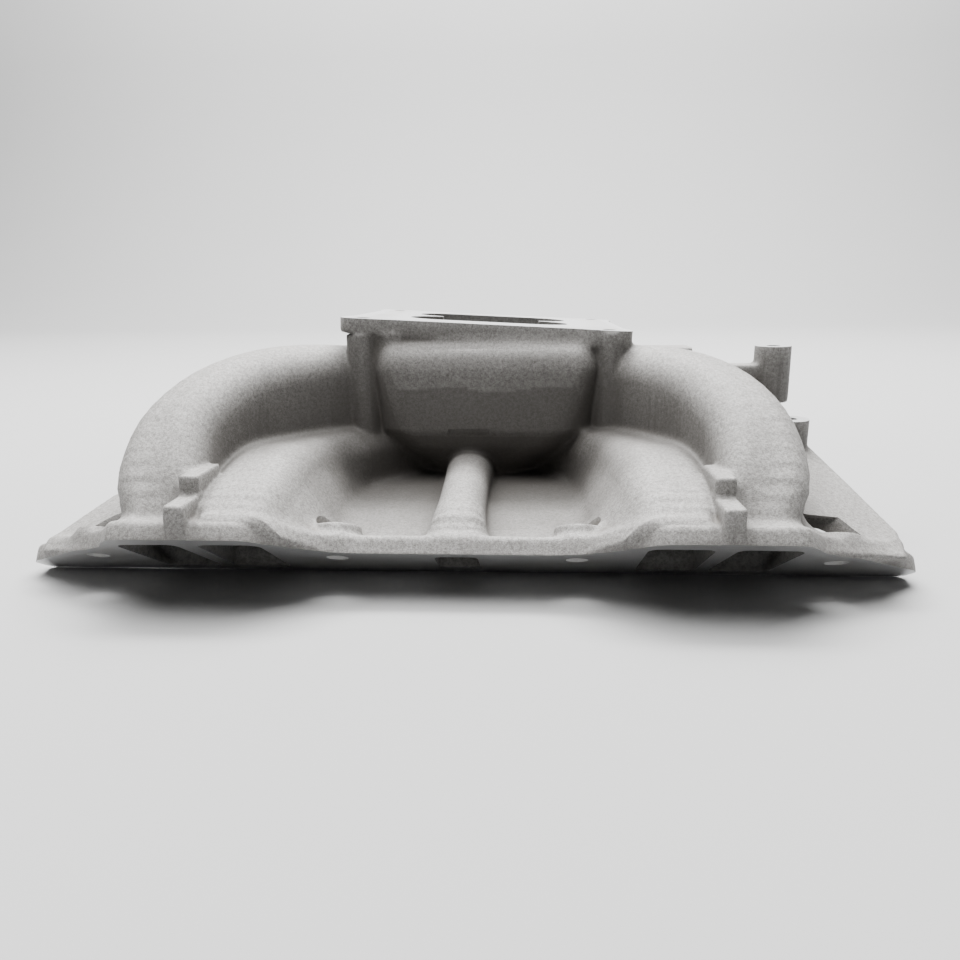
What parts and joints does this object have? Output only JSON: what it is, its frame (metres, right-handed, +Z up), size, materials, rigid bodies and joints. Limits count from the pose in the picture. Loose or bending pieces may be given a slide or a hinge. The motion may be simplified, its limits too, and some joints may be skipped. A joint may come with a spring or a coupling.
{
  "type": "intake manifold",
  "caption": "Dual-plane intake manifold for a V engine: sloping port flanges on both sides, curved runners rising to a raised four-barrel carburettor pad.",
  "frame": {"origin": "under the middle of the casting, level with the lower edges of the two port faces", "axes": "+X towards the front of the engine, -Y towards the near cylinder bank, +Z up"},
  "size_m": [0.452, 0.41, 0.1299],
  "materials": {
    "cast_aluminium": "grit-blasted sand casting",
    "machined_casting": "grit-blasted casting with one machined face",
    "plug_steel": "plain steel pipe plug"
  },
  "bodies": {
    "root": {"near_flange_rear_end": "machined_casting", "near_port_frame_7": "machined_casting", "near_port_frame_5": "machined_casting", "near_flange_rear_middle": "machined_casting", "near_crossover_frame": "machined_casting", "near_flange_front_middle": "machined_casting", "near_port_frame_3": "machined_casting", "near_port_frame_1": "machined_casting", "near_flange_front_end": "machined_casting", "far_flange_rear_end": "machined_casting", "far_port_frame_8": "machined_casting", "far_port_frame_6": "machined_casting", "far_flange_rear_middle": "machined_casting", "far_crossover_frame": "machined_casting", "far_flange_front_middle": "machined_casting", "far_port_frame_4": "machined_casting", "far_port_frame_2": "machined_casting", "far_flange_front_end": "machined_casting", "runner_1_near_outer_front": "cast_aluminium", "runner_3_near_inner_front": "cast_aluminium", "runner_5_near_inner_rear": "cast_aluminium", "runner_7_near_outer_rear": "cast_aluminium", "runner_2_far_outer_front": "cast_aluminium", "runner_4_far_inner_front": "cast_aluminium", "runner_6_far_inner_rear": "cast_aluminium", "runner_8_far_outer_rear": "cast_aluminium", "lower_plenum": "cast_aluminium", "plenum_exhaust_passage": "cast_aluminium", "upper_plenum": "cast_aluminium", "carburettor_riser": "cast_aluminium", "carburettor_pad": "machined_casting", "stud_post_near_front": "cast_aluminium", "stud_post_near_rear": "cast_aluminium", "stud_post_far_front": "cast_aluminium", "stud_post_far_rear": "cast_aluminium", "near_heat_crossover": "cast_aluminium", "far_heat_crossover": "cast_aluminium", "near_front_valley_web": "cast_aluminium", "near_rear_valley_web": "cast_aluminium", "far_front_valley_web": "cast_aluminium", "far_rear_valley_web": "cast_aluminium", "near_front_lug": "cast_aluminium", "near_rear_lug": "cast_aluminium", "far_front_lug": "cast_aluminium", "far_rear_lug": "cast_aluminium", "coil_bracket_boss": "cast_aluminium", "coil_bracket_arm": "cast_aluminium", "front_accessory_boss": "cast_aluminium", "front_end_web": "cast_aluminium", "rear_end_web": "cast_aluminium", "vacuum_boss": "cast_aluminium", "vacuum_port_plug": "plug_steel"}
  },
  "joints": []
}
